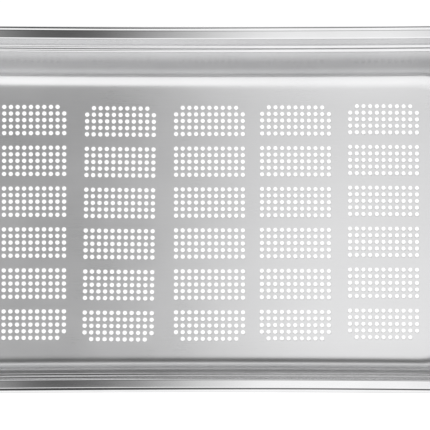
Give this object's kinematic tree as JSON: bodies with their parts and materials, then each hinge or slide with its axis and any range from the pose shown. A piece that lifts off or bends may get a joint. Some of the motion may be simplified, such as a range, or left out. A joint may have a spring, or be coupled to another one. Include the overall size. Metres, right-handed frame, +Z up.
{
  "type": "perforated baguette tray",
  "caption": "Deep-drawn stainless baking tray with a perforated flat base, stepped walls that stack, and a flat flange with a wired, rolled edge.",
  "frame": {"origin": "middle of the underside of the flat base, which is the middle of the surface the tray stands on", "axes": "+X along the length, +Y across the width, +Z up out of the open top"},
  "size_m": [0.53, 0.325, 0.065],
  "materials": {
    "tray_steel": "satin",
    "wire_steel": "satin"
  },
  "bodies": {
    "root": {"tray_shell": "tray_steel", "rim_wire": "wire_steel"}
  },
  "joints": []
}
